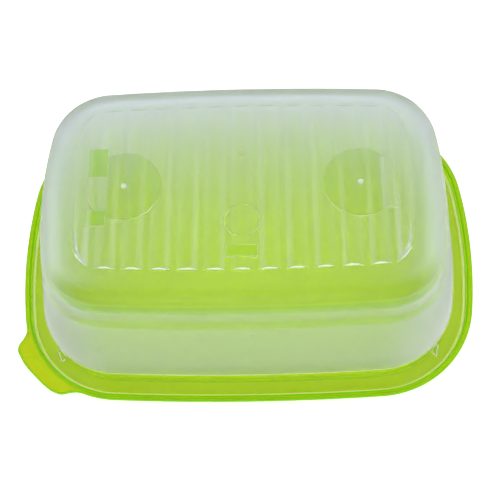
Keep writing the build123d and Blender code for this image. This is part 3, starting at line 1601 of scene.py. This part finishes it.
@dataclass
class Tub:
    """The tub: ribbed base, drafted wall, clear rim band, flange, lip and corner gussets.

    Args:
        plan: The box's outline.
        wall: Thickness of the wall and the base.
        draft: Slope of the wall off the upright.
        mouth_level: Height of the flange's underside.
        flange: Thickness of the flange.
        flange_width: Width of the flange beyond the rim band.
        lip_width: Width of the lip at the flange's edge.
        lip_height: Height of the lip above the flange.
        band_height: Height of the clear rim band.
        ledge: Width of the ledge where the wall meets the rim band.
        wall_height: Height of the frosted wall.
        base_round: Radius of the round between the wall and the base.
        plate_inset: Distance of the base plate's edge inside the base outline.
        edge_width: Width of the thin pale lines along the edges, which are painted highlights.
        ledge_round: Radius of the ledge's edges.
        band_root: Radius between the rim band and the flange.
        lip_round: Radius of the lip's edges.
        mouth_round: Radius under the flange's outer edge.
        inner_mouth_round: Radius at the mouth's inner edge.
        inner_ledge_drop: Height of the ledge's slope inside.
        inner_ledge_round: Radius of the ledge's edges inside.
        inner_root: Softness of the ribs' roots inside.
        inner_field_inset: Distance of the ribs' ends inside from those outside.
        round_step: Largest turn between two points of a round.
        smooth_angle: Largest angle between faces that look like one surface.
        left_gate: Island round the left gate.
        right_gate: Island round the right gate.
        upper_window: Bare window at the left, towards the back.
        lower_window: Bare window at the left, towards the front.
        right_window: Bare frosted window at the right.
        front_window: Bare window at the front.
        large_ring: Ring in front of the middle.
        small_ring: Ring behind the middle.
        between_windows: Strip between the two windows at the left.
        gate_radius: Radius of the mark in the middle of a gate's island.
        gusset_angle: Direction of a gusset round its corner.
        gusset_thickness: Thickness of a gusset.
        gusset_foot: Reach of a gusset on the flange.
        gusset_top: Reach of a gusset at its top.
        gusset_gap: Distance of its top below the rim band's top.
        gusset_sink: Depth of a gusset's root in the rim band.
        gusset_bevel: Width of its bevels.
        gusset_bevel_steps: Faces across a bevel.
        gusset_smooth_angle: Largest angle between its faces that look like one surface.
    """

    plan: Plan = field(default_factory=Plan)
    wall: float = 1.1
    draft: float = 10.9
    mouth_level: float = 1.4
    flange: float = 1.1
    flange_width: float = 6.6
    lip_width: float = 1.1
    lip_height: float = 1.7
    band_height: float = 10.6
    ledge: float = 0.3
    wall_height: float = 44.8
    base_round: float = 13.2
    plate_inset: float = 13.4
    edge_width: float = 0.35
    ledge_round: float = 0.15
    band_root: float = 0.6
    lip_round: float = 0.3
    mouth_round: float = 0.25
    inner_mouth_round: float = 0.4
    inner_ledge_drop: float = 0.3
    inner_ledge_round: float = 0.2
    inner_root: float = 0.45
    inner_field_inset: float = 1.2
    round_step: float = 7.0
    smooth_angle: float = 28.0
    left_gate: Disc = Disc(-45.7, 0.0, 14.65)
    right_gate: Disc = Disc(45.7, 0.0, 14.65)
    upper_window: Window = Window(-56.1, 10.4, 7.6, 12.6)
    lower_window: Window = Window(-56.1, -13.8, 7.8, 6.6)
    right_window: Window = Window(56.3, -0.5, 5.4, 22.0)
    front_window: Window = Window(0.0, -28.3, 12.2, 5.0)
    large_ring: Disc = Disc(0.0, -15.4, 6.9, 6.55)
    small_ring: Disc = Disc(0.0, 13.9, 2.0, 1.65)
    between_windows: Window = Window(-56.1, -2.7, 7.6, 13.6)
    gate_radius: float = 1.1
    gusset_angle: float = 43.0
    gusset_thickness: float = 1.0
    gusset_foot: float = 2.7
    gusset_top: float = 1.4
    gusset_gap: float = 0.2
    gusset_sink: float = 0.05
    gusset_bevel: float = 0.17
    gusset_bevel_steps: int = 2
    gusset_smooth_angle: float = 40.0

    def __post_init__(self) -> None:
        """Works out the levels and growths that follow from the sizes."""
        slope = math.tan(math.radians(self.draft))
        self.flange_top = self.mouth_level + self.flange
        self.foot_level = self.flange_top + self.band_height
        self.round_level = self.foot_level + self.wall_height
        self.base_level = self.round_level + self.base_round * (1 - math.sin(math.radians(self.draft)))
        self.ceiling = self.base_level - self.wall
        self.foot_growth = self.wall_height * slope
        self.band_growth = self.foot_growth + self.ledge
        self.lip_growth = self.band_growth + self.flange_width
        self.skin = self.wall / math.cos(math.radians(self.draft))
        self.top_growth = (self.round_level - self.base_level) * slope
        self.ceiling_growth = (self.round_level - self.ceiling) * slope - self.skin

    @property
    def gates(self) -> tuple[Disc, ...]:
        """Marks in the middle of the gates' islands."""
        return tuple(replace(gate, radius=self.gate_radius) for gate in (self.left_gate, self.right_gate))

    def section(self) -> list[Knee]:
        """Corners of the tub's wall.

        Returns:
            The corners, from the base's edge round the mouth to the ceiling.
        """
        inner, edge, line = Side.INNER, Side.EDGE, Side.LINE
        lip_inside, lip_top = self.lip_growth - self.lip_width, self.flange_top + self.lip_height
        inner_band, inner_foot = self.band_growth - self.wall, self.foot_growth - self.skin
        return [
            Knee(-self.plate_inset, self.base_level),
            Knee(self.top_growth, self.base_level, self.base_round),
            Knee(self.foot_growth, self.foot_level, self.ledge_round),
            Knee(self.band_growth, self.foot_level, self.ledge_round, line),
            Knee(self.band_growth, self.foot_level - self.edge_width),
            Knee(self.band_growth, self.flange_top, self.band_root),
            Knee(lip_inside, self.flange_top, self.lip_round),
            Knee(lip_inside, lip_top, self.lip_round, edge),
            Knee(self.lip_growth - self.edge_width, lip_top, 0.0, line),
            Knee(self.lip_growth, lip_top, self.lip_round, line),
            Knee(self.lip_growth, lip_top - self.edge_width),
            Knee(self.lip_growth, self.mouth_level, self.mouth_round),
            Knee(inner_band, self.mouth_level, self.inner_mouth_round, inner),
            Knee(inner_band, self.foot_level - self.inner_ledge_drop, self.inner_ledge_round, inner),
            Knee(inner_foot, self.foot_level, self.inner_ledge_round, inner),
            Knee(self.ceiling_growth, self.ceiling, self.base_round - self.wall, inner),
            Knee(-self.plate_inset, self.ceiling, 0.0, inner),
        ]

    def shell(self) -> bpy.types.Object:
        """Makes the tub's moulding without its gussets.

        Returns:
            The shell, as one closed mesh.
        """
        moulding = Moulding("tub_shell", self.plan)
        moulding.carry(rounded(self.section(), self.round_step))
        islands = (
            self.left_gate,
            self.right_gate,
            self.upper_window,
            self.lower_window,
            self.right_window,
            self.front_window,
            self.large_ring,
            self.small_ring,
        )
        outer = RibbedPlate(self.base_level, self.plan, islands=islands, dimples=self.gates)
        inner_edge = outer.field_growth - self.inner_field_inset
        inner = RibbedPlate(self.ceiling, self.plan, field_growth=inner_edge, root=self.inner_root)
        moulding.plate(-self.plate_inset, outer, Side.OUTER)
        moulding.plate(-self.plate_inset, inner, Side.INNER)
        return moulding.mesh_object(self.smooth_angle)

    def gusset(self, name: str, end: int, hand: int) -> bpy.types.Object:
        """Makes a small trapezoid plate that braces the rim band at one corner.

        Args:
            name: The gusset's name.
            end: 1 at the right side and -1 at the left.
            hand: 1 at the back and -1 at the front.

        Returns:
            The gusset.
        """
        top = self.band_height - self.gusset_gap
        foot_line = ((-self.gusset_sink, 0.0), (self.gusset_foot, 0.0))
        top_line = ((self.gusset_top, top), (-self.gusset_sink, top))
        turn = math.radians(self.gusset_angle)
        outward = Vector((end * math.cos(turn), hand * math.sin(turn), 0.0))
        across = Vector((-outward.y, outward.x, 0.0)) * (self.gusset_thickness / 2)
        corner = self.plan.corner_centre
        root = self.plan.corner_radius + self.band_growth
        start = Vector((end * corner.x, hand * corner.y, self.flange_top)) + outward * root
        work = bmesh.new()
        sides = []
        for side in (-1, 1):
            spots = [start + outward * a + Vector((0, 0, b)) + across * side for a, b in foot_line + top_line]
            sides.append([work.verts.new(spot * MM) for spot in spots])
        near, far = sides
        work.faces.new(near)
        work.faces.new(reversed(far))
        for i in range(len(near)):
            j = (i + 1) % len(near)
            work.faces.new((near[i], far[i], far[j], near[j]))
        bmesh.ops.recalc_face_normals(work, faces=work.faces)
        bmesh.ops.bevel(
            work,
            geom=work.edges,
            offset=self.gusset_bevel * MM,
            segments=self.gusset_bevel_steps,
            affect="EDGES",
            material=GussetSide.OUTLINE.value,
        )
        return piece_of(bpy.data.meshes.new(name), work, self.gusset_smooth_angle)

    def clear_places(self) -> tuple[ClearPlace, ...]:
        """Places of the base plate that aren't frosted as the rest.

        Returns:
            The places, where a later one covers an earlier one.
        """
        return (
            ClearPlace(self.left_gate, clear=0.3),
            ClearPlace(self.right_gate, clear=0.3),
            ClearPlace(self.between_windows, clear=0.12),
            ClearPlace(self.upper_window, clear=0.4, colour=0.8),
            ClearPlace(self.lower_window, clear=0.4, colour=0.7),
            ClearPlace(self.right_window, clear=0.05, haze=0.1),
            ClearPlace(self.front_window, clear=0.4, colour=0.2),
        )

    def build(self) -> None:
        """Builds, dresses and places the tub."""
        places = self.clear_places()
        frosted = FrostedPlastic(foot_level=self.foot_level, places=places, gates=self.gates).make()
        clear = ClearPlastic().make()
        shell = self.shell()
        # The edge and line materials paint highlights and a faint glow along the lip and the outermost edges.
        for material in (frosted, clear, EdgePlastic().make(), LinePlastic().make()):
            shell.data.materials.append(material)
        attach(shell, "tub")
        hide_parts("tub")
        # The gussets' outlines carry a painted highlight and a faint painted glow.
        outline = GussetPlastic().make()
        corners = ((1, 1), (-1, 1), (-1, -1), (1, -1))
        for number, (end, hand) in enumerate(corners, start=1):
            gusset = self.gusset(f"gusset_{number}", end, hand)
            gusset.data.materials.append(clear)
            gusset.data.materials.append(outline)
            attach(gusset, "tub")
        LOG.info("tub placed")


@dataclass
class Lid:
    """The lid: foot ring, raised panel, skirt, brim with its bead, and pull tab.

    Args:
        plan: The box's outline.
        tab: The pull tab.
        thickness: Thickness of the panel, the channel and the foot ring.
        panel_growth: Growth of the raised panel's edge.
        panel_height: Height of the raised panel.
        plate_inset: Distance inside that edge at which the flat plates start.
        skirt_growth: Growth of the skirt's inside.
        skirt: Thickness of the skirt.
        height: Height of the brim's top.
        brim_width: Width of the brim beyond the skirt.
        brim: Thickness of the brim.
        bead: Width of the bead under the brim's edge.
        bead_drop: Depth of the bead below the brim.
        edge_width: Width of the painted green line along the brim's edge.
        ring_width: Width of the painted green ring at the skirt's mouth.
        panel_round: Radius of the panel's upper edge.
        channel_round: Radius of the channel's corners and of the corner under the panel.
        rim_round: Radius of the brim's edges.
        bead_round: Radius of the bead's inner edge and the skirt's root.
        bead_root: Radius between the bead and the brim.
        foot_round: Radius of the foot ring's edges.
        round_step: Largest turn between two points of a round.
        smooth_angle: Largest angle between faces that look like one surface.
    """

    plan: Plan = field(default_factory=Plan)
    tab: PullTab = field(default_factory=PullTab)
    thickness: float = 1.2
    panel_growth: float = 7.5
    panel_height: float = 5.0
    plate_inset: float = 6.0
    skirt_growth: float = 15.8
    skirt: float = 0.9
    height: float = 7.1
    brim_width: float = 1.55
    brim: float = 1.0
    bead: float = 0.8
    bead_drop: float = 0.7
    edge_width: float = 0.55
    ring_width: float = 0.9
    panel_round: float = 0.8
    channel_round: float = 0.5
    rim_round: float = 0.3
    bead_round: float = 0.25
    bead_root: float = 0.2
    foot_round: float = 0.4
    round_step: float = 16.0
    smooth_angle: float = 35.0

    def section(self) -> list[Knee]:
        """Corners of the lid's section.

        Returns:
            The corners, from the panel's upper edge round the brim to the panel's underside.
        """
        rim = Side.EDGE
        skirt_out = self.skirt_growth + self.skirt
        edge = skirt_out + self.brim_width
        grip_edge = edge - self.tab.grip_margin
        under = self.height - self.brim
        bead_level = under - self.bead_drop
        foot_in = self.panel_growth - self.thickness
        ceiling = self.panel_height - self.thickness
        return [
            Knee(self.panel_growth - self.plate_inset, self.panel_height),
            Knee(self.panel_growth, self.panel_height, self.panel_round),
            Knee(self.panel_growth, self.thickness, self.channel_round),
            Knee(self.skirt_growth, self.thickness, self.channel_round),
            Knee(self.skirt_growth, self.height, self.rim_round, rim),
            Knee(self.skirt_growth + self.ring_width, self.height),
            Knee(grip_edge, self.height, 0.0, rim, follow=1.0),
            Knee(grip_edge + self.tab.grip_step, self.height, follow=1.0, sink=1.0),
            Knee(edge - self.edge_width, self.height, 0.0, rim, pull=1.0, sink=1.0),
            Knee(edge, self.height, self.rim_round, rim, pull=1.0, sink=1.0),
            Knee(edge, bead_level, self.rim_round, pull=1.0),
            Knee(edge - self.bead, bead_level, self.bead_round, pull=1.0),
            Knee(edge - self.bead, under, self.bead_root, pull=1.0),
            Knee(skirt_out, under, self.bead_round),
            Knee(skirt_out, 0.0, self.foot_round),
            Knee(foot_in, 0.0, self.foot_round),
            Knee(foot_in, ceiling, self.channel_round),
            Knee(self.panel_growth - self.plate_inset, ceiling),
        ]

    def build(self) -> None:
        """Builds, dresses and places the lid."""
        moulding = Moulding("lid_shell", self.plan)
        moulding.carry(rounded(self.section(), self.round_step), self.tab)
        for level in (self.panel_height, self.panel_height - self.thickness):
            moulding.plate(self.panel_growth - self.plate_inset, Relief(level), Side.OUTER)
        shell = moulding.mesh_object(self.smooth_angle)
        # The edge material paints a deeper green and a faint glow on the brim's edges, the grip step and the
        # skirt's mouth, standing in for piped light.
        lime, edge = LimePlastic().make(), LimeEdge().make()
        for material in (lime, lime, edge):
            shell.data.materials.append(material)
        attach(shell, "lid")
        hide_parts("lid")
        LOG.info("lid placed")


@dataclass(frozen=True)
class Lamp:
    """A soft lamp that points at the object.

    Args:
        name: The lamp's name.
        place: Where it hangs.
        size: Its width and height.
        glow: Its brightness, where the white backdrop is 1.
    """

    name: str
    place: tuple[float, float, float]
    size: tuple[float, float]
    glow: float

    def hang(self) -> None:
        """Hangs the lamp and turns it to the object."""
        data = bpy.data.lights.new(self.name, "AREA")
        data.shape, data.size, data.size_y = "RECTANGLE", self.size[0] * MM, self.size[1] * MM
        data.energy = self.glow * math.pi * data.size * data.size_y
        made = bpy.data.objects.new(self.name, data)
        made.location = Vector(self.place) * MM
        made.rotation_euler = (-Vector(self.place)).to_track_quat("-Z", "Y").to_euler()
        bpy.context.scene.collection.objects.link(made)


@dataclass(frozen=True)
class Studio:
    """Pale floor, soft light and the camera at the photograph's place.

    Args:
        camera_place: Where the camera stands.
        ahead: Direction in which it looks.
        right: Direction of its picture's right side.
        focal_pixels: Its focal length, in pixels of the photograph.
        picture_pixels: The photograph's width, in pixels.
        sensor: Width of its sensor.
        near_clip: Distance from which it sees.
        far_clip: Distance up to which it sees.
        floor_level: Height of the floor.
        floor_size: Width and depth of the floor.
        floor_colour: The floor's brightness.
        backdrop_lift: Light that the floor adds of its own where it is seen.
        world_light: Light from all round, where the white backdrop is 1.
        lamps: The soft lamps.
        bounces: Most turns of a ray, and most turns through the plastic.
        soft_bounces: Most turns of a ray at matt or mirroring surfaces.
    """

    camera_place: tuple[float, float, float] = (12.52, -179.91, 397.06)
    ahead: tuple[float, float, float] = (-0.02641, 0.41994, -0.90717)
    right: tuple[float, float, float] = (0.99948, -0.00567, -0.03172)
    focal_pixels: float = 967.5
    picture_pixels: float = 500.0
    sensor: float = 36.0
    near_clip: float = 10.0
    far_clip: float = 20000.0
    floor_level: float = -0.15
    floor_size: float = 6000.0
    floor_colour: float = 0.94
    backdrop_lift: float = 0.5
    world_light: float = 0.55
    lamps: tuple[Lamp, ...] = (
        Lamp("front_lamp", (-35.0, -950.0, 490.0), (600.0, 150.0), 12.0),
        Lamp("back_lamp", (0.0, 950.0, 380.0), (700.0, 350.0), 1.4),
        Lamp("left_lamp", (-950.0, -60.0, 380.0), (700.0, 350.0), 2.6),
        Lamp("right_lamp", (950.0, -60.0, 380.0), (700.0, 350.0), 3.6),
    )
    bounces: int = 40
    soft_bounces: int = 24

    def camera(self) -> None:
        """Stands the camera where the photograph was taken from."""
        data = bpy.data.cameras.new("camera")
        data.sensor_width = self.sensor
        data.lens = self.sensor * self.focal_pixels / self.picture_pixels
        data.clip_start, data.clip_end = self.near_clip * MM, self.far_clip * MM
        made = bpy.data.objects.new("camera", data)
        ahead, right = Vector(self.ahead).normalized(), Vector(self.right)
        right = (right - ahead * right.dot(ahead)).normalized()
        up = right.cross(ahead)
        turn = Matrix((right, up, -ahead)).transposed().to_4x4()
        made.matrix_world = Matrix.Translation(Vector(self.camera_place) * MM) @ turn
        bpy.context.scene.collection.objects.link(made)
        bpy.context.scene.camera = made

    def floor(self) -> None:
        """Lays the pale floor, which looks white beyond the object's shadow."""
        half = self.floor_size / 2 * MM
        mesh = bpy.data.meshes.new("floor")
        level = self.floor_level * MM
        corners = [(-half, -half, level), (half, -half, level), (half, half, level), (-half, half, level)]
        mesh.from_pydata(corners, [], [(0, 1, 2, 3)])
        made = bpy.data.objects.new("floor", mesh)
        bpy.context.scene.collection.objects.link(made)
        material = bpy.data.materials.new("floor")
        material.use_nodes = True
        book = NodeBook(material.node_tree)
        tone = self.floor_colour
        matt = book.node("ShaderNodeBsdfDiffuse", inputs={"Color": (tone, tone, tone, 1.0)})
        glow = book.node("ShaderNodeEmission", inputs={"Strength": book.backdrop_seen() * self.backdrop_lift})
        lifted = book.node("ShaderNodeAddShader", inputs={0: matt, 1: glow})
        book.node("ShaderNodeOutputMaterial", inputs={"Surface": lifted})
        mesh.materials.append(material)

    def world(self) -> None:
        """Lights the object softly from all round, with a white background."""
        world = bpy.data.worlds.new("studio")
        world.use_nodes = True
        bpy.context.scene.world = world
        book = NodeBook(world.node_tree)
        strength = book.backdrop_seen() * (1 - self.world_light) + self.world_light
        sky = book.node("ShaderNodeBackground", inputs={"Color": (1.0, 1.0, 1.0, 1.0), "Strength": strength})
        book.node("ShaderNodeOutputWorld", inputs={"Surface": sky})

    def build(self) -> None:
        """Sets up the studio."""
        self.camera()
        self.floor()
        self.world()
        for lamp in self.lamps:
            lamp.hang()
        bpy.context.scene.view_settings.view_transform = "Standard"
        cycles = bpy.context.scene.cycles
        cycles.max_bounces = self.bounces
        cycles.transmission_bounces = self.bounces
        cycles.glossy_bounces = self.soft_bounces
        cycles.diffuse_bounces = self.soft_bounces
        LOG.info("studio set")


def main() -> None:
    """Builds the box's pieces and the studio."""
    logging.basicConfig(level=logging.INFO, format="%(name)s: %(message)s")
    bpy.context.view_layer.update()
    Lid().build()
    Tub().build()
    Studio().build()


if __name__ == "__main__":
    main()
